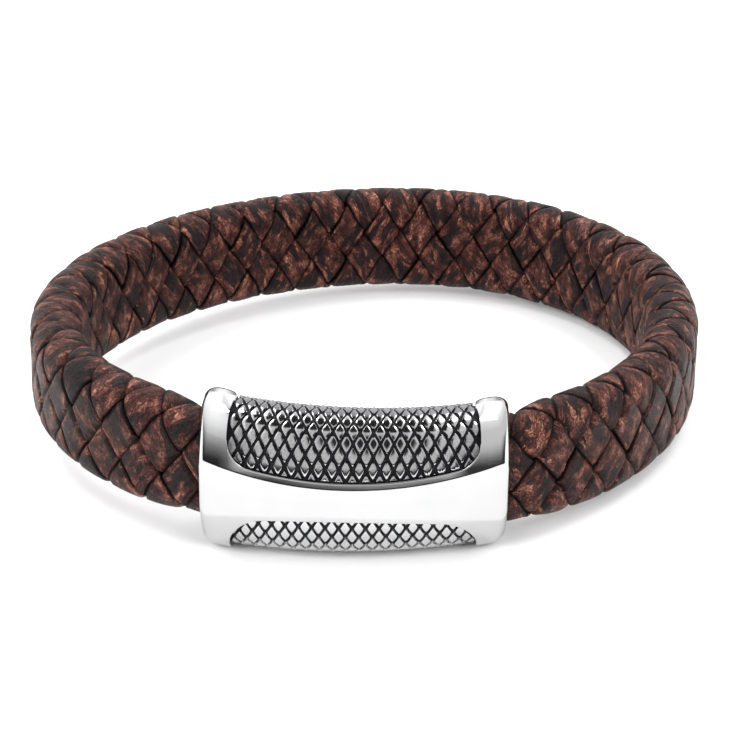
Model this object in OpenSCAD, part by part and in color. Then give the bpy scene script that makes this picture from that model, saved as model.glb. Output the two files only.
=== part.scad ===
// Braided leather bracelet, closed and lying on a table with its clasp to the front.
// Eight flat laces are braided into a flattened tube that runs once round the wrist.
// Both ends of the tube are pressed into a curved steel clasp with scaled panels.
// Millimetres. +X runs along the clasp, -Y points out through its front, +Z is up.

/* [Loop] */
// Mean radius of the leather loop, on its middle line
loop_r = 32.5; // [31:0.5:35]
// Stretch of the loop into an oval, as a share of its radius
loop_oval = 0.034; // [0:0.002:0.04]
// Direction of the oval's long axis, in degrees from +X
loop_oval_at = 29.5; // [20:0.5:40]
// Three-sided swelling of the loop, as a share of its radius
loop_egg = 0.0156; // [0:0.0002:0.02]

/* [Braid] */
// Height of the braided band
band_h = 12.2; // [11.8:0.1:12.4]
// Thickness of the braided band
band_t = 5.65; // [5.5:0.05:5.8]
// Thickness of one leather lace
lace_t = 1; // [0.9:0.05:1]
// Width of a lace, as a share of the space between two that run side by side
lace_fill = 0.74; // [0.66:0.02:0.74]
// Air between two laces where they cross
lace_gap = 0.16; // [0.14:0.01:0.2]
// Angle round the loop from one crossing to the next in a row
braid_pitch = 8.35; // [8:0.05:9]
// Extra height of the facet corners, so that the flat facets keep the band's height
crown = 0.8; // [0:0.1:0.9]
// Share of the band's height left where the clasp's sockets press it
crimp = 0.9; // [0.88:0.01:0.92]

/* [Clasp] */
// Direction of the clasp's middle, in degrees from +X
clasp_at = 267.45; // [266:0.05:270]
// Radius of the clasp's bend, on the band's middle line
clasp_bend = 36.5; // [35:0.5:38]
// Half of the clasp's length, straight across
clasp_half = 14.85; // [14:0.05:16]
// Distance of the front face from the band's middle line
front_out = 5.47; // [5.3:0.01:5.8]
// Distance of the wrist side from the band's middle line
back_in = 3.75; // [3.7:0.05:4]
// How far the front face falls back towards the clasp's ends
front_cut = 0.68; // [0.4:0.02:0.7]
// Where along the clasp the front face reaches out furthest
front_peak = -0.9; // [-2:0.1:1]
// Half height of the front face at mid length
front_half = 1.38; // [1.2:0.02:1.6]
// Slope of the sloped faces above and below the front face, in degrees
bevel_slope = 66; // [64:0.5:68]
// Length of the straight part of a sloped face
bevel_run = 4.7; // [4.6:0.05:4.9]
// Radius that rounds a sloped face over to the top
shoulder_r = 3.55; // [3.4:0.05:3.7]
// Radius of the rounded ends of the clasp
end_round = 1.2; // [1:0.1:1.4]
// Rise of the upper half towards its left end, as a share of its height
taper_top = 0.04; // [0:0.002:0.1]
// The same for the lower half
taper_bottom = 0.048; // [0:0.002:0.06]
// How far the clasp sits below the band's middle line
clasp_drop = 0.08; // [0:0.02:0.2]
// Rise of the clasp's right end, which is pressed on a little askew
clasp_skew = 0.16; // [0:0.02:0.5]

/* [Scaled panels] */
// Half length of a sunk panel
panel_half = 12.05; // [11.5:0.05:12.2]
// Rim between the front face's edge and a panel
panel_rim = 0.7; // [0.6:0.01:1]
// Corner radius of the upper panel
panel_corner_top = 2; // [1.5:0.1:3]
// Corner radius of the lower panel
panel_corner_bottom = 3.6; // [2:0.1:4]
// Depth of a panel's ground below the collars
panel_depth = 0.7; // [0.6:0.05:0.9]
// Depth of the scales' tops below the collars
scale_depth = 0.42; // [0.4:0.02:0.55]
// Space from one scale to the next in a row
scale_pitch = 1.29; // [1.2:0.01:1.4]
// Space from one row of scales to the next
scale_row = 1.17; // [1.1:0.01:1.3]
// Share of a scale that is flat on top, the rest slopes down into the grooves
scale_flat = 0.76; // [0.6:0.02:0.84]

/* [Resting pose] */
// Lean of the ring towards its back, where the band is lower than the clasp
lean_back = 0.56; // [0:0.01:3]
// Lean of the ring to its right, where the clasp is lower
lean_side = 2.08; // [0:0.01:3]
// Shift along X that centres the bracelet over the origin
shift_x = 0.5; // [-5:0.01:5]
// Shift along Y that centres the bracelet over the origin
shift_y = 1.23; // [-5:0.01:5]
// Lift that sets the bracelet on the table
lift = 7.52; // [5:0.01:9]

/* [Hidden] */
leather_colour = [0.33, 0.18, 0.13];
steel_colour = [0.78, 0.79, 0.8];
core_colour = [0.45, 0.46, 0.48];
deg = 180 / PI;

// The middle of a lace lies this far outside or inside the stadium it weaves about
weave_out = (lace_t + lace_gap) / 2;
weave_h = band_h + crown - 2 * weave_out - lace_t;
weave_t = band_t - 2 * weave_out - lace_t;
half_lace = lace_fill / 2;

// The laces end inside the sockets, this far from the clasp's middle
socket_end = 9.9;
end_angle = asin(socket_end / loop_r);
braid_start = clasp_at + end_angle - 360;
braid_cells = (360 - 2 * end_angle) / braid_pitch;
// The band is pressed together between these two angles from the clasp's middle
grip_angle = 29.5;
free_angle = 36;

// Play of the band in its sockets, and the size of the hole through the clasp
socket_gap = 0.22;
bore_t = band_t + 2 * socket_gap;
bore_h = band_h * crimp + crown + 2 * socket_gap;
core_half = 8;
core_gap = 0.25;

// Crown of the clasp's section, and the arc behind it that runs down to the wrist side
crown_out = front_out - bevel_run * cos(bevel_slope) - shoulder_r * sin(bevel_slope);
crown_z = front_half + bevel_run * sin(bevel_slope) + shoulder_r * (1 - cos(bevel_slope));
back_r = crown_out + back_in;
shoulder_end = bevel_run + shoulder_r * bevel_slope / deg;
section_end = shoulder_end + back_r * 90 / deg;
// The upper panel runs on over the crown, the lower one ends right under the clasp
panel_end_top = shoulder_end + back_r * 50 / deg;
panel_end_bottom = shoulder_end;
// Row of scales next to the rim, and the most half pitches and rows from there to any scale
first_row = 1.94;
most_steps = ceil(2 * panel_half / scale_pitch) + 1;

// The loop: a circle with a little oval and a little egg in it
function loop_rad(a) = loop_r
    * (1 + loop_oval * cos(2 * (a - loop_oval_at)) - loop_egg * cos(3 * a));

// Where the clasp bends, and the way from its middle to the front and along it
clasp_middle = loop_rad(clasp_at) * [cos(clasp_at), sin(clasp_at)];
clasp_tangent = loop_rad(clasp_at + 1) * [cos(clasp_at + 1), sin(clasp_at + 1)]
    - loop_rad(clasp_at - 1) * [cos(clasp_at - 1), sin(clasp_at - 1)];
clasp_along = clasp_tangent / norm(clasp_tangent);
clasp_front = [clasp_along.y, -clasp_along.x];
bend_centre = clasp_middle - clasp_bend * clasp_front;

// How far the sockets hold the band at an angle round the loop: 1 inside them, 0 beyond
function grip(a) =
    let (off = min(a + 360 - clasp_at, clasp_at - a))
    1 - max(0, min(1, (off - grip_angle) / (free_angle - grip_angle)));

// The band follows the loop, and the clasp's bend inside the sockets
function band_point(a) =
    let (way = [cos(a), sin(a)], c = bend_centre * way)
    let (bend = c + sqrt(pow(clasp_bend, 2) - bend_centre * bend_centre + c * c))
    way * (loop_rad(a) + grip(a) * (bend - loop_rad(a)));
function band_out(a) =
    let (along = band_point(a + 0.5) - band_point(a - 0.5))
    [along.y, -along.x] / norm(along);

// A stadium on its end, walked by share of its girth from the middle of its outer side
function stadium(share, h, t, out) =
    let (r = t / 2, flat = h / 2 - r, arc = PI * r)
    let (walk = (share - floor(share + 0.5)) * (4 * flat + 2 * arc))
    let (way = abs(walk), turn = (way - flat) / r * deg)
    way <= flat ? [r + out, walk]
    : turn < 180 ? [(r + out) * cos(turn), sign(walk) * (flat + (r + out) * sin(turn))]
    : [-r - out, sign(walk) * (2 * flat + arc - way)];

// A point of the weave: rise and fall count the laces crossed by one that climbs to the
// right and by one that climbs to the left, and out is the distance from the stadium
function weave_point(rise, fall, out) =
    let (a = braid_start + (rise + fall) / 2 * braid_pitch)
    let (h = weave_h * (1 - (1 - crimp) * grip(a)))
    let (s = stadium((rise - fall) / 8 + 1 / 16, h, weave_t, out))
    concat(band_point(a) + s.x * band_out(a), s.y);

// Four corners of a lace where it enters or leaves crossing m
function lace_ring(lane, m, edge, climbs_right) =
    let (odd = (m + lane + 100) % 2 == 1)
    let (mid = (odd == climbs_right ? 1 : -1) * weave_out)
    [for (c = [[-1, -1], [1, -1], [1, 1], [-1, 1]])
        let (along = m + edge, across = lane + c.x * half_lace, out = mid + c.y * lace_t / 2)
        climbs_right ? weave_point(along, across, out) : weave_point(across, along, out)];

// Every quad of a lace is folded level with the band, so that crossed laces fold alike
lace_quads = [[3, 7, 6], [3, 6, 2], [0, 5, 4], [0, 1, 5], [2, 6, 5], [2, 5, 1], [7, 3, 0], [7, 0, 4]];

module lace(lane, climbs_right) {
    first = ceil(half_lace - lane);
    last = floor(2 * braid_cells - lane - half_lace);
    rings = [
        for (m = [first : last], edge = [-half_lace, half_lace])
            lace_ring(lane, m, edge, climbs_right)
    ];
    count = len(rings);
    end = 4 * (count - 1);
    walls = [for (k = [0 : count - 2], q = lace_quads) q + 4 * k * [1, 1, 1]];
    caps = [[3, 2, 1], [3, 1, 0], [end, end + 1, end + 2], [end, end + 2, end + 3]];
    faces = concat(walls, caps);
    turned = [for (f = faces) climbs_right ? f : [f.z, f.y, f.x]];
    polyhedron([for (r = rings, p = r) p], turned);
}

// The clasp's section above its middle: travel runs from the front face's upper edge over
// the sloped face, the shoulder and the crown, and deep is measured into the steel
function case_section(travel, deep) =
    let (turn = bevel_slope - (travel - bevel_run) / shoulder_r * deg)
    let (back = (shoulder_end - travel) / back_r * deg)
    travel <= bevel_run ?
        [front_out, front_half] + travel * [-cos(bevel_slope), sin(bevel_slope)]
            - deep * [sin(bevel_slope), cos(bevel_slope)]
    : travel <= shoulder_end ?
        [crown_out, crown_z - shoulder_r] + (shoulder_r - deep) * [sin(turn), cos(turn)]
    : [crown_out, crown_z - back_r] + (back_r - deep) * [sin(back), cos(back)];

// A point of the clasp: x along it, out to the front and z up from the band's middle
function clasp_point(x, out, z) =
    let (taper = z > 0 ? taper_top : taper_bottom)
    let (reach = sqrt(pow(clasp_bend + out, 2) - x * x))
    let (up = z * (1 - taper * x / clasp_half) - clasp_drop + clasp_skew * x / clasp_half)
    concat(bend_centre + x * clasp_along + reach * clasp_front, up);

// The front face falls back towards the ends, which lifts its edge up the sloped face
function front_fall(x) = front_cut * pow((x - front_peak) / clasp_half, 2);
function edge_travel(x) = front_fall(x) / cos(bevel_slope);

// Closed loft through rings of 2 n points: the first n run back over the last n
module loft(rings, mirrored = false) {
    size = len(rings[0]);
    end = size * (len(rings) - 1);
    walls = [
        for (k = [0 : len(rings) - 2], i = [0 : size - 1])
            let (a = k * size + i, b = k * size + (i + 1) % size)
            each [[a, b, b + size], [a, b + size, a + size]]
    ];
    caps = [
        for (i = [0 : size / 2 - 2])
            let (j = size - 1 - i)
            each [
                [i, j, j - 1], [i, j - 1, i + 1],
                [end + i, end + j - 1, end + j], [end + i, end + i + 1, end + j - 1]
            ]
    ];
    faces = concat(walls, caps);
    polyhedron(
        [for (r = rings, p = r) p],
        [for (f = faces) mirrored ? [f.z, f.y, f.x] : f]
    );
}

// Stations along the clasp, as [x, inset of the rounded end]
end_steps = [0, 40, 76];
span_steps = 4;
function end_station(side, a) =
    [side * (clasp_half - end_round * (1 - sin(a))), end_round * (1 - cos(a))];
clasp_stations = concat(
    [for (i = [len(end_steps) - 1 : -1 : 1]) end_station(-1, end_steps[i])],
    [for (i = [-span_steps : span_steps]) [i / span_steps * (clasp_half - end_round), 0]],
    [for (i = [1 : len(end_steps) - 1]) end_station(1, end_steps[i])]
);
// The rounding is smaller on the front face and the wrist side than on the top
front_round = 0.4;
section_steps = 11;

function case_ring(x, inset) =
    let (start = (front_fall(x) - inset * (sin(bevel_slope) - front_round)) / cos(bevel_slope))
    let (half = [
        for (i = [0 : section_steps])
            let (travel = start + (section_end - start) * i / section_steps)
            let (soft = travel > shoulder_end ? (section_end - travel) / (section_end - shoulder_end) : 1)
            case_section(travel, inset * (front_round + (1 - front_round) * soft))
    ])
    concat(
        [for (p = half) clasp_point(x, p.x, p.y)],
        [for (i = [section_steps : -1 : 0]) clasp_point(x, half[i].x, -half[i].y)]
    );

// Upright stadium, bent round with the clasp: the hole through it and the lock in that hole
module bent_bar(half, h, t) {
    sweep = asin(half / clasp_bend);
    translate(bend_centre)
        rotate(atan2(clasp_front.y, clasp_front.x) - sweep)
            rotate_extrude(angle = 2 * sweep, $fn = 120)
                translate([clasp_bend, 0]) {
                    square([t, h - t], center = true);
                    for (end = [-1, 1]) translate([0, end * (h - t) / 2]) circle(d = t, $fn = 32);
                }
}

// A sunk panel starts at its rim, whose corners are round, and its walls stand square
function panel_start(x, corner) =
    let (into = max(0, abs(x) - panel_half + corner))
    edge_travel(x) + panel_rim + corner - sqrt(max(0, corner * corner - into * into));
panel_steps = 4;
function panel_stations(corner) = concat(
    [for (a = [90, 65, 40, 20]) -panel_half + corner * (1 - sin(a))],
    [for (i = [-4 : 4]) i / 4 * (panel_half - corner)],
    [for (a = [20, 40, 65, 90]) panel_half - corner * (1 - sin(a))]
);
function panel_ring(x, corner, end, side) =
    let (start = panel_start(x, corner))
    let (walk = [for (i = [0 : panel_steps]) start + (end - start) * i / panel_steps])
    let (roof = [for (w = walk) case_section(w, -1)])
    let (ground = [for (i = [panel_steps : -1 : 0]) case_section(walk[i], panel_depth + 0.25)])
    [for (p = concat(roof, ground)) clasp_point(x, p.x, side * p.y)];

// Room over the scales, as one closed body: over each scale it has a flat floor and four
// slopes down to the grooves, and where no scale lies next to it a wall up to its roof.
// A scale stands k half pitches from mid length in row m, where it reaches into the panel.
corner_steps = [[-1, 0], [0, -1], [1, 0], [0, 1]];
function has_scale(k, m, corner, end) =
    let (near = max(0, abs(k) - 1) * scale_pitch / 2, travel = first_row + m * scale_row)
    (k + m + 100) % 2 == 1 && near < panel_half && travel - scale_row < end
        && travel + scale_row > panel_start(near, corner);
function lattice_point(k, m, deep, side) =
    let (p = case_section(first_row + m * scale_row, deep))
    clasp_point(k * scale_pitch / 2, p.x, side * p.y);

module scale_room(corner, end, side) {
    cells = [
        for (k = [-most_steps : most_steps], m = [-2 : most_steps])
            if (has_scale(k, m, corner, end)) [k, m]
    ];
    levels = [[1, panel_depth], [scale_flat, scale_depth], [1, -1.4]];
    points = [
        for (s = cells, level = levels, c = corner_steps)
            lattice_point(s.x + c.x * level.x, s.y + c.y * level.x, level.y, side)
    ];
    flats = [[4, 5, 6], [4, 6, 7], [8, 10, 9], [8, 11, 10]];
    slopes = [
        for (i = [0 : 3])
            let (j = (i + 1) % 4)
            each [[i, j + 4, i + 4], [i, j, j + 4]]
    ];
    walls = [
        for (n = [0 : len(cells) - 1], i = [0 : 3])
            let (j = (i + 1) % 4, next = cells[n] + corner_steps[i] + corner_steps[j], o = 12 * n)
            if (!has_scale(next.x, next.y, corner, end))
                each [[o + i, o + j + 8, o + j], [o + i, o + i + 8, o + j + 8]]
    ];
    faces = concat(
        [for (n = [0 : len(cells) - 1], f = concat(flats, slopes)) f + 12 * n * [1, 1, 1]],
        walls
    );
    polyhedron(points, [for (f = faces) side > 0 ? f : [f.z, f.y, f.x]]);
}

module panel_cut(corner, end, side) {
    intersection() {
        loft([for (x = panel_stations(corner)) panel_ring(x, corner, end, side)], side < 0);
        scale_room(corner, end, side);
    }
}

// Set down on the table: the ring leans back and to the right until it touches
module set_down() {
    translate([shift_x, shift_y, lift]) rotate([-lean_back, lean_side, 0]) children();
}

module clasp_case() {
    color(steel_colour) set_down() {
        difference() {
            loft([for (s = clasp_stations) case_ring(s.x, s.y)]);
            bent_bar(clasp_half + 3, bore_h, bore_t);
            panel_cut(panel_corner_top, panel_end_top, 1);
            panel_cut(panel_corner_bottom, panel_end_bottom, -1);
        }
    }
}

// Plain block that stands for the hidden lock between the two ends of the band
module lock_core() {
    color(core_colour) set_down()
        bent_bar(core_half, bore_h - 2 * core_gap, bore_t - 2 * core_gap);
}

module lace_node(lane, climbs_right) {
    color(leather_colour) set_down() lace(lane, climbs_right);
}

lace_node(0, true);  // lace_right_1
lace_node(1, true);  // lace_right_2
lace_node(2, true);  // lace_right_3
lace_node(3, true);  // lace_right_4
lace_node(0, false);  // lace_left_1
lace_node(1, false);  // lace_left_2
lace_node(2, false);  // lace_left_3
lace_node(3, false);  // lace_left_4
clasp_case();
lock_core();
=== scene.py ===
import math

import bpy
import numpy as np
from mathutils import Matrix, Vector


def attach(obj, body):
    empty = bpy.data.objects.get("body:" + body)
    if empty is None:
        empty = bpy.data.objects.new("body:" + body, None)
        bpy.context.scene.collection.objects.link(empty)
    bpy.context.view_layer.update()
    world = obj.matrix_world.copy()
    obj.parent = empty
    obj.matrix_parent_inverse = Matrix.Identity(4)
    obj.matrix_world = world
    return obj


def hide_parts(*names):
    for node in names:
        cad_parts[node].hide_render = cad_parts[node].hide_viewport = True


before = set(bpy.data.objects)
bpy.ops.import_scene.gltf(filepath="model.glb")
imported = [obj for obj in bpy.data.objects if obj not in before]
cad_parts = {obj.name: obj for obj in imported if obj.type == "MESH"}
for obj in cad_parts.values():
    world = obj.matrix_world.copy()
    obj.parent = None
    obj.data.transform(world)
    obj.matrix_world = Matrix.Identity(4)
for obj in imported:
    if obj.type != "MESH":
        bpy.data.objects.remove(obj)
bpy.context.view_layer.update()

# The camera stands in front of the clasp, 24 degrees up, behind a long lens. The bracelet is
# set out in its ring's own frame, in millimetres. It rests leaning a little back and to its
# right, because the clasp is taller than the band and hangs lowest at its left end.
LEAN_BACK, LEAN_SIDE = math.radians(0.56), math.radians(2.08)
SET_DOWN = Matrix.Rotation(LEAN_SIDE, 3, "Y") @ Matrix.Rotation(-LEAN_BACK, 3, "X")
SHIFT = Vector((0.5, 1.23, 7.52))
CAMERA_AWAY = 256.3
CAMERA_UP = math.radians(24)
CAMERA_ROLL = math.radians(0.721)
LENS_PIXELS, PICTURE, FILM_WIDE = 2354.2, 750, 36
RING_PIXEL = (370.51, 343.49)
NEAREST, FARTHEST = 0.01, 50

to_camera = Vector((0, -math.cos(CAMERA_UP), math.sin(CAMERA_UP)))
level = Vector((1, 0, 0))
upright = Vector((0, math.sin(CAMERA_UP), math.cos(CAMERA_UP)))
across = math.cos(CAMERA_ROLL) * level + math.sin(CAMERA_ROLL) * upright
above = math.cos(CAMERA_ROLL) * upright - math.sin(CAMERA_ROLL) * level
left_of, above_by = (PICTURE / 2 - pixel for pixel in RING_PIXEL)
gaze = (left_of * across - above_by * above - LENS_PIXELS * to_camera).normalized()
lens_side = (across - across.dot(gaze) * gaze).normalized()
lens_top = lens_side.cross(gaze)

camera = bpy.data.objects.new("camera", bpy.data.cameras.new("camera"))
camera.data.sensor_width = FILM_WIDE
camera.data.lens = FILM_WIDE * LENS_PIXELS / PICTURE
camera.data.clip_start, camera.data.clip_end = NEAREST, FARTHEST
camera_turn = SET_DOWN @ Matrix((lens_side, lens_top, -gaze)).transposed()
camera_spot = (SET_DOWN @ (to_camera * CAMERA_AWAY) + SHIFT) / 1000
camera.matrix_world = Matrix.Translation(camera_spot) @ camera_turn.to_4x4()
bpy.context.scene.collection.objects.link(camera)
bpy.context.scene.camera = camera


# The band: eight flat laces of antiqued leather, braided over one and under one into a
# flattened tube and rolled flat. Four climb to the right seen from outside and four to the
# left, and the tube runs once round the wrist into the two sockets of the clasp.
LOOP_R, LOOP_OVAL, LOOP_OVAL_AT, LOOP_EGG = 32.5, 0.034, 29.5, 0.0156
CLASP_AT, CLASP_BEND = 267.45, 36.5
BAND_H, BAND_T = 12.2, 5.65
LACES, LACE_T, LACE_LIFT = 8, 0.85, 0.38
LACE_HALF, FLUSH, FOLD_SPREAD = 0.486, 0.45, 0.07
PITCH = 8.35
SOCKET_END, GRIP_AT, FREE_AT, CRIMP = 9.9, 29.5, 36.0, 0.9


def loop_radius(a):
    """The free band's distance from the ring's middle, slightly oval and three-sided."""
    egg = LOOP_EGG * np.cos(np.radians(3 * a))
    return LOOP_R * (1 + LOOP_OVAL * np.cos(np.radians(2 * (a - LOOP_OVAL_AT))) - egg)


def polar(a):
    return np.stack([np.cos(np.radians(a)), np.sin(np.radians(a))], -1)


clasp_middle = loop_radius(CLASP_AT) * polar(CLASP_AT)
clasp_along = loop_radius(CLASP_AT + 1) * polar(CLASP_AT + 1)
clasp_along = clasp_along - loop_radius(CLASP_AT - 1) * polar(CLASP_AT - 1)
clasp_along /= np.linalg.norm(clasp_along)
clasp_front = np.array([clasp_along[1], -clasp_along[0]])
bend_centre = clasp_middle - CLASP_BEND * clasp_front
socket_turn = math.degrees(math.asin(SOCKET_END / LOOP_R))


def grip(a):
    """1 where the sockets hold the band, 0 where it is free."""
    off = np.minimum(a + 360 - CLASP_AT, CLASP_AT - a)
    return 1 - np.clip((off - GRIP_AT) / (FREE_AT - GRIP_AT), 0, 1)


def band_point(a):
    """The middle of the band by the angle round the loop, bent with the clasp in its sockets."""
    way = polar(a)
    lean = way @ bend_centre
    bend = lean + np.sqrt(CLASP_BEND**2 - bend_centre @ bend_centre + lean**2)
    return way * (loop_radius(a) + grip(a) * (bend - loop_radius(a)))[..., None]


def stadium(share, h, t, out):
    """A point of an upright stadium by share of its girth from the middle of its front."""
    r = t / 2
    flat = h / 2 - r
    walk = (share - np.floor(share + 0.5)) * (4 * flat + 2 * math.pi * r)
    way, sign = np.abs(walk), np.sign(walk)
    turn = np.clip((way - flat) / r, 0, math.pi)
    rise = np.where(turn < math.pi, np.minimum(way, flat), 2 * flat + math.pi * r - way)
    return (r + out) * np.cos(turn), sign * (rise + (r + out) * np.sin(turn))


def girth_share(rise, fall):
    """How far round the tube's girth two laces cross, from the middle of its outer side."""
    return (rise - fall) / LACES + 0.5 / LACES


def weave(rise, fall, out):
    """A point of the braid, by laces crossed either way and distance from its middle."""
    a = CLASP_AT + socket_turn - 360 + (rise + fall) / 2 * PITCH
    ahead = band_point(a + 0.5) - band_point(a - 0.5)
    ahead /= np.linalg.norm(ahead, axis=-1, keepdims=True)
    normal = np.stack([ahead[..., 1], -ahead[..., 0]], -1)
    weave_h = (BAND_H - 2 * LACE_LIFT - LACE_T) * (1 - (1 - CRIMP) * grip(a))
    weave_t = BAND_T - 2 * LACE_LIFT - LACE_T
    depth, z = stadium(girth_share(rise, fall), weave_h, weave_t, out)
    flat = band_point(a) + depth[..., None] * normal
    return np.concatenate([flat, z[..., None]], -1)


def fold(rise, fall):
    """1 where the braid folds over the band's upper or lower edge, 0 on its two flat sides."""
    share = girth_share(rise, fall)
    from_edge = np.abs(share - np.floor(share + 0.5)) - 0.25
    return np.exp(-((from_edge / FOLD_SPREAD) ** 2))


def on_table(points):
    """Millimetres in the ring's frame to metres in the finished scene."""
    return (np.asarray(points) @ np.array(SET_DOWN).T + np.array(SHIFT)) / 1000


def grid_mesh(name, rows, closed_rows=False, cap=False):
    """Quads round rows of points, with the rows joined into a ring or capped if asked."""
    count, size = rows.shape[:2]
    index = np.arange(count * size).reshape(count, size)
    near = index if closed_rows else index[:-1]
    far = np.roll(index, -1, 0) if closed_rows else index[1:]
    sides = near, np.roll(near, -1, 1), np.roll(far, -1, 1), far
    faces = np.stack(sides, -1).reshape(-1, 4).tolist()
    if cap:
        faces += [index[0, ::-1].tolist(), index[-1].tolist()]
    mesh = bpy.data.meshes.new(name)
    mesh.from_pydata(on_table(rows.reshape(-1, 3)).tolist(), [], faces)
    return mesh


def add_piece(name, mesh, material, slot_name, *stands_for):
    """A finished piece from its mesh, with the solid that it takes the place of."""
    piece = bpy.data.objects.new(name, mesh)
    bpy.context.scene.collection.objects.link(piece)
    mesh.shade_smooth()
    if material is not None:
        mesh.materials.append(material)
    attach(piece, "root")
    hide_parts(*stands_for)
    return piece


def node_tools(owner):
    """An empty node tree and a maker of its nodes, which links any input that is a socket."""
    owner.use_nodes = True
    tree = owner.node_tree
    tree.nodes.clear()

    def make(kind, inputs=None, **settings):
        node = tree.nodes.new(kind)
        for key, value in settings.items():
            setattr(node, key, value)
        for key, value in (inputs or {}).items():
            if isinstance(value, bpy.types.NodeSocket):
                tree.links.new(value, node.inputs[key])
            else:
                node.inputs[key].default_value = value
        return node

    return tree, make


def ramp(make, value, *stops):
    node = make("ShaderNodeValToRGB", {"Fac": value})
    first, last = node.color_ramp.elements[0], node.color_ramp.elements[1]
    first.position, first.color = stops[0]
    last.position, last.color = stops[-1]
    for place, colour in stops[1:-1]:
        node.color_ramp.elements.new(place).color = colour
    return node.outputs["Color"]


def blend(make, kind, factor, first, second):
    """Colour mix: the factor is the node's first input, and the colours are its last two."""
    node = make("ShaderNodeMix", data_type="RGBA", blend_type=kind)
    for socket, value in ((node.inputs[0], factor), (node.inputs[6], first), (node.inputs[7], second)):
        if isinstance(value, bpy.types.NodeSocket):
            node.id_data.links.new(value, socket)
        else:
            socket.default_value = value
    return node.outputs[2]


def grey(level):
    return (level, level, level, 1)


SOOT, UMBER = (0.0088, 0.0064, 0.0080, 1), (0.017, 0.0076, 0.0070, 1)
RUST, RUSSET = (0.038, 0.0116, 0.0096, 1), (0.066, 0.0200, 0.0158, 1)
COPPER, AMBER = (0.120, 0.040, 0.029, 1), (0.38, 0.158, 0.106, 1)


def antiqued_leather():
    """Brown glazed leather, rubbed copper in fine flecks and stained nearly black in patches, with
    painted shade where the laces dive under each other and in the grooves at their edges.
    """
    material = bpy.data.materials.new("antiqued_leather")
    tree, make = node_tools(material)
    way = make("ShaderNodeAttribute", attribute_name="lace_way").outputs["Vector"]
    raised = make("ShaderNodeAttribute", attribute_name="lace_raised").outputs["Fac"]
    edge = make("ShaderNodeAttribute", attribute_name="lace_edge").outputs["Fac"]

    def noise(stretch, detail, rough=0.6, warp=0.0):
        spread = make("ShaderNodeMapping", {"Vector": way, "Scale": stretch}).outputs["Vector"]
        inputs = {"Vector": spread, "Scale": 1.0, "Detail": detail, "Roughness": rough}
        return make("ShaderNodeTexNoise", {**inputs, "Distortion": warp}).outputs["Fac"]

    stains = noise((0.23, 0.6, 1), 6, 0.6, 0.6)
    mottle = noise((0.55, 0.8, 1), 3, 0.6)
    fleck = noise((5.5, 7.5, 1), 4, 0.75, 0.6)
    fibre = noise((1.4, 12.0, 1), 4, 0.7)
    crackle = noise((1.5, 4.0, 1), 5, 0.65, 0.3)
    pores = noise((8.0, 12.0, 1), 3, 0.7, 0.5)
    mixed = make("ShaderNodeMath", {0: mottle, 1: fleck}, operation="ADD").outputs[0]
    half = make("ShaderNodeMath", {0: mixed, 1: 0.5}, operation="MULTIPLY").outputs[0]
    stops = (0.42, UMBER), (0.46, RUST), (0.495, RUSSET), (0.54, COPPER), (0.61, AMBER)
    body = ramp(make, half, *stops)
    fibres = ramp(make, fibre, (0.36, grey(0.35)), (0.5, grey(1)), (0.66, grey(1.55)))
    body = blend(make, "MULTIPLY", 0.9, body, fibres)
    pitted = ramp(make, pores, (0.41, grey(0.4)), (0.5, grey(1)), (0.6, grey(2.1)))
    body = blend(make, "MULTIPLY", 1.0, body, pitted)
    dark = ramp(make, stains, (0.515, grey(0)), (0.545, grey(0.88)))
    body = blend(make, "MIX", dark, body, SOOT)
    veins = ramp(make, crackle, (0.465, grey(1)), (0.485, grey(0.15)), (0.5, grey(0.15)), (0.52, grey(1)))
    body = blend(make, "MULTIPLY", 0.9, body, veins)
    # Painted shade: each lace darkens towards nearly black where it dives under a crossing lace.
    painted_dive_shade = ramp(make, raised, (0.35, grey(0.1)), (0.6, grey(0.7)), (0.85, grey(1)))
    body = blend(make, "MULTIPLY", 1.0, body, painted_dive_shade)
    # A thin lighter line just inside each lace's edge, then nearly black at the edge itself: painted
    # shade in the grooves between laces.
    stops = (0.74, grey(1)), (0.9, grey(1.2)), (0.95, grey(0.5)), (0.985, grey(0.04))
    body = blend(make, "MULTIPLY", 1.0, body, ramp(make, edge, *stops))

    relief = make("ShaderNodeMath", {0: fleck, 1: fibre}, operation="ADD").outputs[0]
    relief = make("ShaderNodeMath", {0: relief, 1: veins}, operation="ADD").outputs[0]
    bump = make("ShaderNodeBump", {"Height": relief, "Strength": 1.0, "Distance": 0.00015})
    gloss = ramp(make, fleck, (0.4, grey(0.55)), (0.62, grey(0.18)))
    inputs = {"Base Color": body, "Roughness": gloss, "Normal": bump.outputs["Normal"]}
    shader = make("ShaderNodeBsdfPrincipled", inputs)
    shader.inputs["Specular IOR Level"].default_value = 0.14
    make("ShaderNodeOutputMaterial", {"Surface": shader.outputs["BSDF"]})
    return material


leather = antiqued_leather()

STEPS_A_CROSSING = 14
CROSSING_LONG, CROSSING_WIDE = 4.6, 4.3
EDGE_STEPS = (0.14, 0.42, 0.7, 0.88, 0.95, 0.99)
SQUARENESS, CROWNED, PRESSED = 14, 0.12, 2.2
WANDER, FINE_WANDER, SWELL, TWIST, FINE_TWIST = 0.03, 0.015, 0.03, 0.07, 0.05
HIDE_APART = 17.3
cells = 2 * (360 - 2 * socket_turn) / PITCH
upper_x = np.array([1, *reversed(EDGE_STEPS), *(-x for x in EDGE_STEPS), -1])
section_x = np.concatenate([upper_x, -upper_x[1:-1]])
section_w = LACE_T / 2 * np.sqrt(1 - np.abs(section_x) ** SQUARENESS) * (1 - CROWNED * section_x**2)
section_w[len(upper_x):] *= -1


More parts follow.
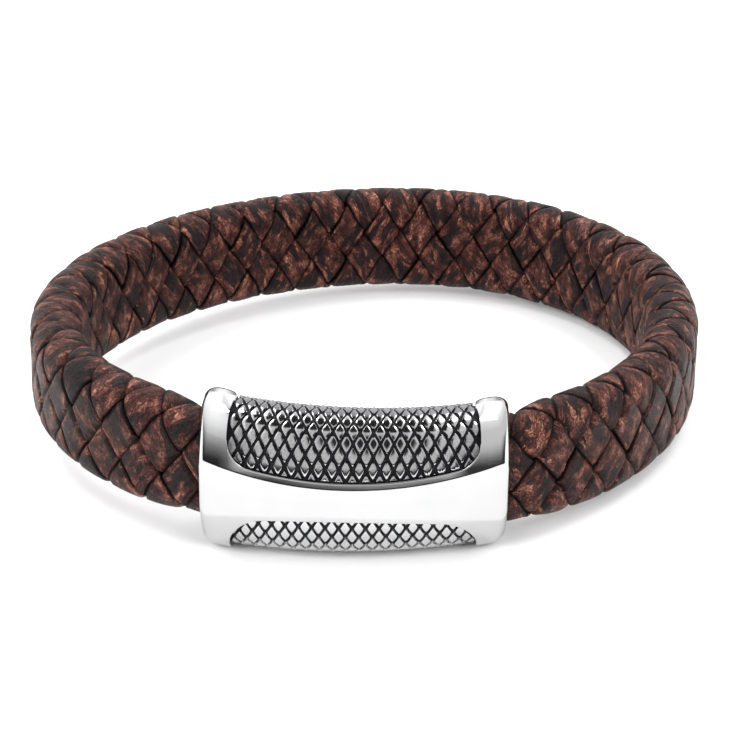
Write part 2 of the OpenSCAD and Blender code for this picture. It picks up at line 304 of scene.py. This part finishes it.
def braid_lace(lane, climbs_right):
    """One lace from socket to socket, rolled flat, rising over one and diving under one."""
    number = lane + (0 if climbs_right else LACES // 2)
    along = np.arange(LACE_HALF - lane, cells - lane - LACE_HALF, 1 / STEPS_A_CROSSING)
    wave = -np.cos(math.pi * (along + lane)) * (1 if climbs_right else -1)
    press = np.sin(math.pi / 2 * np.clip(PRESSED * wave, -1, 1))
    drift = WANDER * np.sin(along * 0.83 + number * 2.1)
    drift += FINE_WANDER * np.sin(along * 2.17 + number)
    half = LACE_HALF * (1 + SWELL * np.sin(along * 1.31 + number * 1.7))
    twist = TWIST * np.sin(along * 1.93 + number * 2.9)
    twist += FINE_TWIST * np.sin(along * 3.71 + number)
    over = lane + drift[:, None] + half[:, None] * section_x
    line = np.broadcast_to(along[:, None], over.shape)
    flush = FLUSH * (fold(line, over) if climbs_right else fold(over, line))
    lift = LACE_LIFT * (press[:, None] + flush * (1 - press[:, None]))
    out = lift + twist[:, None] * section_x + section_w
    rows = weave(line, over, out) if climbs_right else weave(over, line, out)

    name = f"lace_{'right' if climbs_right else 'left'}_{lane + 1}"
    order = slice(None) if climbs_right else slice(None, None, -1)
    mesh = grid_mesh(name, rows[:, order], cap=True)
    place = line * CROSSING_LONG, (over - lane) * CROSSING_WIDE, line * 0 + HIDE_APART * number
    # How high each point of the lace rides; the leather paints shade from it where a lace dives under.
    height = (np.broadcast_to(press[:, None], over.shape) + 1) / 2
    shown = np.where(section_w < 0, 1 - height, height)
    from_middle = np.broadcast_to(np.abs(section_x), over.shape)
    way = mesh.attributes.new("lace_way", "FLOAT_VECTOR", "POINT")
    way.data.foreach_set("vector", np.stack(place, -1)[:, order].ravel())
    for label, values in (("lace_raised", shown), ("lace_edge", from_middle)):
        layer = mesh.attributes.new(label, "FLOAT", "POINT")
        layer.data.foreach_set("value", values[:, order].ravel())
    return add_piece(name + "_leather", mesh, leather, "leather", name)


for lane in range(LACES // 2):
    braid_lace(lane, True)
    braid_lace(lane, False)


# The clasp: one bent case of cast and polished steel. Sloped faces run above and below a
# plain front, a panel is sunk into each of them between two plain collars, and the ends of
# the band are pressed into a hole that runs right through it.
CLASP_HALF, FRONT_OUT, BACK_IN = 14.85, 5.47, 3.75
FRONT_CUT, FRONT_PEAK, FRONT_HALF = 0.68, -0.9, 1.38
SLOPE, SLOPE_RUN, SHOULDER_R = math.radians(66), 4.7, 3.55
END_ROUND, CREASE_ROUND, FRONT_ROUND = 1.7, 0.75, 0.4
TAPER_TOP, TAPER_BOTTOM, CLASP_DROP, CLASP_SKEW = 0.04, 0.048, 0.08, 0.16
PANEL_HALF, PANEL_RIM, PANEL_DEPTH, PANEL_OVER = 12.05, 0.7, 0.7, math.radians(50)
CORNER_TOP, CORNER_BOTTOM = 2.0, 3.6
NARROWING, NARROWS_FROM = 0.65, 3.5
LIP, LIP_FROM, SIDE_LIP, SIDE_LIP_WIDE = 0.1, 6.2, 0.4, 0.75
UPPER_SOFT, LOWER_SOFT, SOFT_DROP = 0.16, 0.5, 0.08
WALK_STEP, LEAST_STRIP, BLACK_BELOW = 0.02, 0.45, 0.45

crown_out = FRONT_OUT - SLOPE_RUN * math.cos(SLOPE) - SHOULDER_R * math.sin(SLOPE)
crown_z = FRONT_HALF + SLOPE_RUN * math.sin(SLOPE) + SHOULDER_R * (1 - math.cos(SLOPE))
back_r = crown_out + BACK_IN
shoulder_end = SLOPE_RUN + SHOULDER_R * SLOPE
section_end = shoulder_end + back_r * math.pi / 2
panel_end_top = shoulder_end + back_r * PANEL_OVER
panel_end_bottom = shoulder_end
quarter = np.linspace(0, math.pi / 2, 5)

# The sloped faces are a little crowned by the polishing, so the section is walked along its
# surface, by how far up that faces at each step, and made to run from front to crown.
FACING = (
    (-1.0, 15.0), (0.0, 18.5), (1.6, 21.5), (3.2, 26.0), (4.4, 32.0), (5.2, 41.0),
    (6.2, 54.5), (7.4, 72.0), (shoulder_end, 90.0), (section_end, 180.0),
)
walk_at = np.arange(FACING[0][0], section_end + WALK_STEP, WALK_STEP)
facing = np.radians(np.interp(walk_at, *zip(*FACING)))
at_front, at_crown = np.searchsorted(walk_at, 0), np.searchsorted(walk_at, shoulder_end)
walk_out = np.cumsum(np.sin(facing)) * -WALK_STEP
walk_up = np.cumsum(np.cos(facing)) * WALK_STEP
walk_out -= walk_out[at_crown]
walk_up -= walk_up[at_crown]
walk_out[:at_crown] *= (FRONT_OUT - crown_out) / walk_out[at_front]
walk_up[:at_crown] *= (FRONT_HALF - crown_z) / walk_up[at_front]


def case_section(travel, deep):
    """Out and up in the clasp's section, by way from the front's edge and depth in steel."""
    turned = np.interp(travel, walk_at, facing)
    out = crown_out + np.interp(travel, walk_at, walk_out) - deep * np.cos(turned)
    return out, crown_z + np.interp(travel, walk_at, walk_up) - deep * np.sin(turned)


def clasp_point(x, out, z):
    """A point of the clasp in the ring's frame, bent, tapered and set a little askew."""
    taper = np.where(z > 0, TAPER_TOP, TAPER_BOTTOM)
    reach = np.sqrt((CLASP_BEND + out) ** 2 - x**2)
    flat = bend_centre + x[..., None] * clasp_along + reach[..., None] * clasp_front
    up = z * (1 - taper * x / CLASP_HALF) - CLASP_DROP + CLASP_SKEW * x / CLASP_HALF
    return np.concatenate([flat, up[..., None]], -1)


def edge_travel(x):
    """How far up the slope the front's upper edge climbs towards the clasp's two ends."""
    return FRONT_CUT * ((x - FRONT_PEAK) / CLASP_HALF) ** 2 / math.cos(SLOPE)


def drawn_in(x, travel):
    """The panels narrow towards the crown, where the collars roll over into them."""
    straight = CLASP_HALF - END_ROUND
    wide = np.clip((straight - np.abs(x)) / (straight - PANEL_HALF), 0, 1)
    wide = np.minimum(wide, np.abs(x) / PANEL_HALF)
    high = np.clip((travel - NARROWS_FROM) / (shoulder_end - NARROWS_FROM), 0, 1)
    return x - np.sign(x) * NARROWING * wide * high**2


def panel_start(x, corner):
    """Where a sunk panel begins, past its rim and its rounded corner."""
    into = np.clip(np.abs(x) - PANEL_HALF + corner, 0, corner)
    return edge_travel(x) + PANEL_RIM + corner - np.sqrt(corner**2 - into**2)


def half_profile(x, turn, sunk, drop, corner, panel_end, soft):
    """Along, out, up and finish of the clasp's upper half, from middle height to the back's."""
    inset = CREASE_ROUND * (1 - math.cos(turn))
    crease = edge_travel(x) - inset * (math.sin(SLOPE) - FRONT_ROUND) / math.cos(SLOPE)
    start = max(panel_start(x, corner), crease + LEAST_STRIP)
    inner = np.linspace(start + 0.25, panel_end - 0.25, 22)
    rolled = np.clip((inner - LIP_FROM) / (shoulder_end - LIP_FROM), 0, 1)
    drop = drop * rolled**2 * (3 - 2 * rolled)
    ground = drop + sunk * (PANEL_DEPTH - drop)
    soft = min(soft, start - crease - LIP - 0.1)
    rim = np.linspace(crease + soft + 0.04, start - LIP, 7)
    stations = [
        (crease + soft * (1 - np.cos(quarter)), soft * SOFT_DROP * (1 - np.sin(quarter))),
        (rim, 0 * rim),
        (start - LIP + LIP * np.sin(quarter[1:]), sunk * LIP * (1 - np.cos(quarter[1:]))),
        (np.full(2, start + 0.02), ground[0] * np.array([0.6, 1])),
        (inner, ground),
        (panel_end + np.array([-0.02, 0, 0.1]), np.array([ground[-1], drop[-1] + sunk * 0.1, drop[-1]])),
        (np.linspace(panel_end + 0.25, section_end, 10), drop[-1] * np.linspace(1, 0, 10) ** 4),
    ]
    travel, deep = (np.concatenate(values) for values in zip(*stations))
    rounding = np.interp(travel, (1.5, shoulder_end), (CREASE_ROUND, END_ROUND))
    inset = rounding * (1 - math.cos(turn))
    behind = np.clip((section_end - travel) / (section_end - shoulder_end), 0, 1)
    out, up = case_section(travel, deep + inset * (FRONT_ROUND + (1 - FRONT_ROUND) * behind))
    wide = drawn_in(x, travel)
    if turn > 0:
        wide = math.copysign(1, x) * (CLASP_HALF - rounding * (1 - math.sin(turn)))
    front_up = np.linspace(0, 1, 9)[:-1] * up[0]
    back_up = np.linspace(1, 0, 6)[1:] * up[-1]
    up = np.concatenate([front_up, up, back_up])
    flats = len(front_up), len(back_up)
    black = np.pad((deep > BLACK_BELOW).astype(float), flats)
    return np.pad(wide, flats, "edge"), np.pad(out, flats, "edge"), up, black


def ring_of(x, turn, sunk, drop):
    """One ring round the clasp: the upper half, and then the lower half turned over."""
    upper = half_profile(x, turn, sunk, drop, CORNER_TOP, panel_end_top, UPPER_SOFT)
    lower = half_profile(x, turn, sunk, drop, CORNER_BOTTOM, panel_end_bottom, LOWER_SOFT)
    wide, out, up, black = (np.concatenate([a, b[::-1][1:-1]]) for a, b in zip(upper, lower))
    up[len(upper[0]):] *= -1
    return wide, out, up, black


def clasp_columns():
    """Rings of the right half: where each stands, its turn at the end, its panel and its lip."""
    reach = PANEL_HALF - CORNER_BOTTOM
    yield from ((x, 0, 1, 0) for x in np.linspace(0, reach, 11))
    for q in np.radians([9, 18, 28, 38, 48, 58, 68, 78, 88]):
        yield reach + CORNER_BOTTOM * math.sin(q), 0, 1, 0
    yield PANEL_HALF + 0.01, 0, 1, 0
    lip_at = PANEL_HALF + 0.03
    yield lip_at, 0, 0.1, SIDE_LIP
    for q in np.radians([15, 35, 55, 75, 90]):
        yield lip_at + SIDE_LIP_WIDE * (1 - math.cos(q)), 0, 0, SIDE_LIP * (1 - math.sin(q))
    yield PANEL_HALF + 0.85, 0, 0, 0
    for q in np.radians([1, 10, 20, 30, 40, 50, 60, 70, 80]):
        yield CLASP_HALF - CREASE_ROUND * (1 - math.sin(q)), q, 0, 0


right_half = list(clasp_columns())
left_half = [(-x, *rest) for x, *rest in reversed(right_half[1:])]
rings = [ring_of(*column) for column in left_half + right_half]
shell = np.stack([clasp_point(x, out, up) for x, out, up, black in rings])
finish = np.stack([black for x, out, up, black in rings])

# The hole keeps the outline's order of points, each carried in to the nearest wall of it.
SOCKET_ROOM, SOCKET_GAP, BORE_INSET = 0.8, 0.22, 0.05
BORE_H = BAND_H * CRIMP + SOCKET_ROOM + 2 * SOCKET_GAP
BORE_T = BAND_T + 2 * SOCKET_GAP
_, out, up, _ = rings[0]
spine = np.clip(up, BORE_T / 2 - BORE_H / 2, BORE_H / 2 - BORE_T / 2)
away = np.hypot(out, up - spine)
bore_out, bore_up = out / away * BORE_T / 2, spine + (up - spine) / away * BORE_T / 2
bore_x = np.linspace(CLASP_HALF - BORE_INSET, BORE_INSET - CLASP_HALF, 12)
reach = np.sqrt((CLASP_BEND + bore_out) ** 2 - (bore_x**2)[:, None])
flat = bend_centre + (bore_x[:, None] * clasp_along)[:, None] + reach[..., None] * clasp_front
bore = np.concatenate([flat, np.broadcast_to(bore_up, reach.shape)[..., None]], -1)
case = grid_mesh("clasp_case", np.concatenate([shell, bore])[:, ::-1], closed_rows=True)


def polished_steel(name, dullness, smudge, tone, tarnish_and_shade=None):
    """Bright cast steel: nearly mirror smooth, with faint polishing marks and a soft haze."""
    material = bpy.data.materials.new(name)
    tree, make = node_tools(material)
    place = make("ShaderNodeTexCoord").outputs["Object"]
    lengthwise = make("ShaderNodeMapping", {"Vector": place, "Scale": (400, 3000, 3000)})
    marks = {"Vector": lengthwise.outputs["Vector"], "Scale": 1.0, "Detail": 3}
    marks = make("ShaderNodeTexNoise", marks).outputs["Fac"]
    haze = make("ShaderNodeTexNoise", {"Vector": place, "Scale": 260, "Detail": 3}).outputs["Fac"]
    rough = ramp(make, haze, (0.3, grey(dullness)), (0.7, grey(dullness + smudge)))
    pale = [min(1, c * 1.05) for c in tone]
    colour = ramp(make, haze, (0.2, (*tone, 1)), (0.8, (*pale, 1)))
    # A darker tone mixed in by each point's own value: partly tarnish and partly painted shade.
    if tarnish_and_shade is not None:
        spread = make("ShaderNodeAttribute", attribute_name="tarnish_and_shade").outputs["Fac"]
        grain = make("ShaderNodeTexNoise", {"Vector": place, "Scale": 5000, "Detail": 3}).outputs["Fac"]
        grain = make("ShaderNodeMapRange", {"Value": grain, "To Min": -0.5, "To Max": 0.5}).outputs[0]
        spread = make("ShaderNodeMath", {0: spread, 1: grain}, operation="ADD", use_clamp=True).outputs[0]
        colour = blend(make, "MIX", spread, colour, (*tarnish_and_shade, 1))
    bump = make("ShaderNodeBump", {"Height": marks, "Strength": 0.06, "Distance": 0.00002})
    inputs = {"Base Color": colour, "Roughness": rough, "Normal": bump.outputs["Normal"]}
    shader = make("ShaderNodeBsdfPrincipled", inputs)
    shader.inputs["Metallic"].default_value = 1
    make("ShaderNodeOutputMaterial", {"Surface": shader.outputs["BSDF"]})
    return material


def blackened_steel():
    """The sunk ground of the panels, left rough from casting and blackened with a patina."""
    material = bpy.data.materials.new("blackened_steel")
    tree, make = node_tools(material)
    place = make("ShaderNodeTexCoord").outputs["Object"]
    pits = make("ShaderNodeTexNoise", {"Vector": place, "Scale": 2500, "Detail": 5}).outputs["Fac"]
    colour = ramp(make, pits, (0.4, (0.003, 0.003, 0.004, 1)), (0.75, (0.015, 0.015, 0.018, 1)))
    bump = make("ShaderNodeBump", {"Height": pits, "Strength": 0.6, "Distance": 0.00008})
    inputs = {"Base Color": colour, "Normal": bump.outputs["Normal"]}
    shader = make("ShaderNodeBsdfPrincipled", inputs)
    shader.inputs["Roughness"].default_value = 0.6
    shader.inputs["Specular IOR Level"].default_value = 0.2
    make("ShaderNodeOutputMaterial", {"Surface": shader.outputs["BSDF"]})
    return material


steel = polished_steel("polished_steel", dullness=0.05, smudge=0.03, tone=(0.495, 0.495, 0.5))
patina = blackened_steel()
case.materials.append(steel)
case.materials.append(patina)
tones = np.concatenate([finish, np.zeros((len(bore_x), finish.shape[1]))])[:, ::-1].ravel()
for face in case.polygons:
    face.material_index = int(sum(tones[v] for v in face.vertices) >= 3)
add_piece("clasp_case_steel", case, None, "steel", "clasp_case")
case.set_sharp_from_angle(angle=math.radians(35))


# The scales: rows of small diamond cushions, cast in one with the clasp and standing on the
# blackened ground of each panel. Those at a panel's edge are cut off along its rim.
SCALE_PITCH, SCALE_ROW, FIRST_ROW = 1.29, 1.24, 1.94
SCALE_TOP, SCALE_BEVEL, SCALE_GAP, SCALE_ROOT = 0.4, 0.07, 0.14, 0.05
PLUMP, BLUNT = 0.12, 0.08
# The scales' dark tone and how much more of it towards the panels' ends: partly tarnish, partly painted
# shade.
END_STAIN_AND_SHADE, END_STAIN_AND_SHADE_FROM = 0.2, 9.5
FIRST_COUNT, ROW_COUNT, MOST_STEPS = -1, 10, 19
SCALE_TONE, SCALE_TARNISH_AND_SHADE = (0.6, 0.6, 0.605), (0.19, 0.19, 0.195)
scale_steel = polished_steel("satin_scale_steel", 0.07, 0.05, SCALE_TONE, SCALE_TARNISH_AND_SHADE)
walk = np.array([-1, -0.87, -0.72, -0.42, 0, 0.42, 0.72, 0.87, 1])
u, v = np.meshgrid(walk, walk, indexing="ij")
border = np.maximum(np.abs(u), np.abs(v))
plump = 1 + PLUMP * (u**2 * (1 - v**2) + v**2 * (1 - u**2)) - BLUNT * u**2 * v**2
bevel = SCALE_BEVEL * (np.abs(u) ** 8 + np.abs(v) ** 8)
grid = np.arange(border.size).reshape(border.shape)
cushion = np.stack([grid[:-1, :-1], grid[1:, :-1], grid[1:, 1:], grid[:-1, 1:]], -1).reshape(-1, 4)


def scale_at(x, travel, side, corner, end, fill, tip):
    """One cushion: a grid over the diamond that drops to the ground at its border."""
    over = (u - v) / 2 * SCALE_PITCH / 2 * fill * plump
    rise = (u + v) / 2 * SCALE_ROW * fill * plump
    deep = np.where(border == 1, PANEL_DEPTH + SCALE_ROOT, SCALE_TOP + bevel - tip * rise)
    level_x = np.clip(x + over, SCALE_GAP - PANEL_HALF, PANEL_HALF - SCALE_GAP)
    place = np.clip(travel + rise, panel_start(level_x, corner) + SCALE_GAP, end - 0.05)
    out, up = case_section(place, deep)
    return clasp_point(drawn_in(level_x, place), out, side * up).reshape(-1, 3)


def scale_field(name, side, corner, end, habits):
    """All the scales of a panel; the habits give fill, upward tilt and darkening by way up, partly
    tarnish and partly painted shade.
    """
    points, faces, tarnish_and_shade = [], [], []
    heights, fills, tips, stains = np.array(habits).T
    quads = cushion if side > 0 else cushion[:, ::-1]
    for row in range(FIRST_COUNT, ROW_COUNT):
        travel = FIRST_ROW + row * SCALE_ROW
        fill, tip, stain_and_shade = (np.interp(travel, heights, values) for values in (fills, tips, stains))
        for k in range(-MOST_STEPS, MOST_STEPS + 1):
            x = k * SCALE_PITCH / 2
            start = panel_start(np.array(max(0, abs(x) - SCALE_PITCH / 4)), corner)
            inside = abs(x) < PANEL_HALF - 0.1 and travel + SCALE_ROW * 0.6 > start
            if (k + row) % 2 == 0 or not inside or travel > end + 0.5:
                continue
            faces.append(quads + border.size * len(points))
            points.append(scale_at(x, travel, side, corner, end, fill, tip))
            # Darker towards the panel's two ends: partly tarnish and partly painted shade.
            stain_and_shade_here = stain_and_shade + max(0, abs(x) - END_STAIN_AND_SHADE_FROM) * END_STAIN_AND_SHADE
            tarnish_and_shade.append(np.full(border.size, stain_and_shade_here))
    mesh = bpy.data.meshes.new(name)
    mesh.from_pydata(on_table(np.concatenate(points)).tolist(), [], np.concatenate(faces).tolist())
    layer = mesh.attributes.new("tarnish_and_shade", "FLOAT", "POINT")
    layer.data.foreach_set("value", np.concatenate(tarnish_and_shade))
    add_piece(name, mesh, scale_steel, "steel", "clasp_case")
    mesh.set_sharp_from_angle(angle=math.radians(50))


# The last column darkens the scales, the upper panel's more than the lower's and most over the crown:
# partly tarnish, partly painted shade.
upper_habits = (
    (0.0, 0.74, 0.03, 0.35), (2.2, 0.76, 0.04, 0.35), (3.2, 0.82, 0.0, 0.35),
    (5.7, 0.82, 0.0, 0.3), (6.9, 0.82, 0.1, 0.4), (8.1, 0.72, 0.2, 1.0), (13.0, 0.72, 0.1, 1.0),
)
lower_habits = (0.0, 0.78, 0.0, 0.0), (9.0, 0.78, 0.0, 0.0)
scale_field("upper_scales", 1, CORNER_TOP, panel_end_top, upper_habits)
scale_field("lower_scales", -1, CORNER_BOTTOM, panel_end_bottom, lower_habits)


# The lock: a plain steel block inside the clasp, between the two ends of the band. Nothing
# of it shows, and it keeps its own solid with a brushed finish.
lock_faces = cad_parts["lock_core"].data.materials
lock_faces.clear()
lock_faces.append(polished_steel("brushed_steel", dullness=0.35, smudge=0.15, tone=(0.45, 0.46, 0.48)))


# The table and the lamps: a white table top, two small soft lamps overhead, and a large one
# in front on either side, which lights the leather but isn't mirrored in the steel.
TABLE_REACH = 6
UPPER_AT, UPPER_SIZE, UPPER_POWER = (0.42, 0.1, 1.0), (0.4, 0.35), 3
FILL_AT, FILL_SIZE, FILL_POWER = (0.95, -0.85, 0.85), (1.2, 0.9), 16
table_mesh = bpy.data.meshes.new("table_top")
corners = [(TABLE_REACH * x, TABLE_REACH * y, 0) for x, y in ((-1, -1), (1, -1), (1, 1), (-1, 1))]
table_mesh.from_pydata(corners, [], [(0, 1, 2, 3)])
table_top = bpy.data.objects.new("table_top", table_mesh)
bpy.context.scene.collection.objects.link(table_top)
white = bpy.data.materials.new("white_table")
tree, make = node_tools(white)
fine = make("ShaderNodeTexNoise", {"Scale": 30.0, "Detail": 2}).outputs["Fac"]
shade = ramp(make, fine, (0.3, grey(0.84)), (0.7, grey(0.86)))
surface = make("ShaderNodeBsdfPrincipled", {"Base Color": shade})
surface.inputs["Roughness"].default_value = 0.9
surface.inputs["Specular IOR Level"].default_value = 0.1
make("ShaderNodeOutputMaterial", {"Surface": surface.outputs["BSDF"]})
table_mesh.materials.append(white)


def soft_light(name, hand, spot, size, power):
    """A soft lamp at the left or the right, turned towards the bracelet."""
    lamp = bpy.data.lights.new(name, "AREA")
    lamp.shape, lamp.size, lamp.size_y, lamp.energy = "RECTANGLE", size[0], size[1], power
    light = bpy.data.objects.new(name, lamp)
    light.location = hand * spot[0], spot[1], spot[2]
    light.rotation_euler = (-light.location).to_track_quat("-Z", "Y").to_euler()
    bpy.context.scene.collection.objects.link(light)
    return light


for hand_name, hand in (("left", -1), ("right", 1)):
    soft_light(f"upper_{hand_name}", hand, UPPER_AT, UPPER_SIZE, UPPER_POWER)
    fill = soft_light(f"fill_{hand_name}", hand, FILL_AT, FILL_SIZE, FILL_POWER)
    fill.visible_glossy = False


# The room: it is laid out by the way a polished face has to turn to mirror each part of it to
# the lens. In the middle it goes up from a dark foot through pale and dark to a white top,
# and its left, its right and its back pale upwards, each in its own way.
LENS_UP = math.radians(26)
SPOT_SIDE, SPOT_UP = 0.015, math.radians(32)
SPOT_HALF, SPOT_CLEAR = math.radians(5.5), math.radians(8)
ROOM_LIGHT = 1.55
room = bpy.data.worlds.new("pale_room")
tree, make = node_tools(room)
heading = make("ShaderNodeTexCoord").outputs["Generated"]
lens = SET_DOWN @ Vector((0, -math.cos(LENS_UP), math.sin(LENS_UP)))
halfway = make("ShaderNodeVectorMath", {0: heading, 1: lens}, operation="ADD").outputs["Vector"]
halfway = make("ShaderNodeVectorMath", {0: halfway}, operation="NORMALIZE").outputs["Vector"]
axes = make("ShaderNodeSeparateXYZ", {"Vector": halfway}).outputs
forward = make("ShaderNodeMath", {0: axes["Y"], 1: -1.0}, operation="MULTIPLY").outputs[0]
turned = make("ShaderNodeMath", {0: axes["X"], 1: forward}, operation="ARCTAN2").outputs[0]
whole_turn = {"Value": turned, "From Min": -math.pi, "From Max": math.pi}
bearing = make("ShaderNodeMapRange", whole_turn).outputs["Result"]


def by_bearing(*stops):
    """Brightness by how far to the right the mirroring face is turned, in degrees."""
    return ramp(make, bearing, *[((degrees + 180) / 360, grey(level)) for degrees, level in stops])


def by_height(*stops):
    """Brightness by how far up the mirroring face is turned, in degrees."""
    return ramp(make, axes["Z"], *[(math.sin(math.radians(up)), grey(level)) for up, level in stops])


middle = by_height(
    (16.8, 0.04), (17.6, 0.3), (18.6, 0.6), (43.5, 0.6), (45, 0.02), (60, 0.02), (65, 0.9), (90, 1.1)
)
low = by_bearing((-22, 0.03), (-12, 0.16), (-3, 1), (3, 1), (11, 0.3), (17, 0.1))
middle = blend(make, "MULTIPLY", by_height((17.8, 1), (19.2, 0)), middle, low)
left = by_height((20, 0.02), (22, 0.14), (24.5, 0.36), (28, 0.68), (33, 0.92), (42, 1.12), (58, 1.3))
right = by_height((20, 0.04), (21.5, 0.18), (24, 0.49), (27, 0.66), (37.5, 0.68), (49, 0.92), (58.5, 1.3))
rear = by_height((64, 0.3), (72, 0.45), (84, 1.0), (90, 1.3))
glow = blend(make, "MIX", by_bearing((-8, 0), (8, 1)), left, right)
at_rear = by_bearing((-100, 1), (-90, 0), (90, 0), (100, 1))
glow = blend(make, "MIX", at_rear, glow, rear)
in_middle = by_bearing((-167, 1), (-165, 0), (-20, 0), (-18, 1), (13, 1), (15, 0), (160, 0), (162, 1))
glow = blend(make, "MIX", in_middle, glow, middle)
dark_spot = SET_DOWN @ Vector((SPOT_SIDE, -math.cos(SPOT_UP), math.sin(SPOT_UP)))
near_spot = make("ShaderNodeVectorMath", {0: halfway, 1: dark_spot}, operation="DOT_PRODUCT")
near_spot = near_spot.outputs["Value"]
clear = ramp(make, near_spot, (math.cos(SPOT_CLEAR), grey(1)), (math.cos(SPOT_HALF), grey(0.04)))
glow = blend(make, "MULTIPLY", 1.0, glow, clear)
backdrop = make("ShaderNodeBackground", {"Color": glow})
backdrop.inputs["Strength"].default_value = ROOM_LIGHT
make("ShaderNodeOutputWorld", {"Surface": backdrop.outputs["Background"]})
bpy.context.scene.world = room
bpy.context.scene.view_settings.view_transform = "Standard"
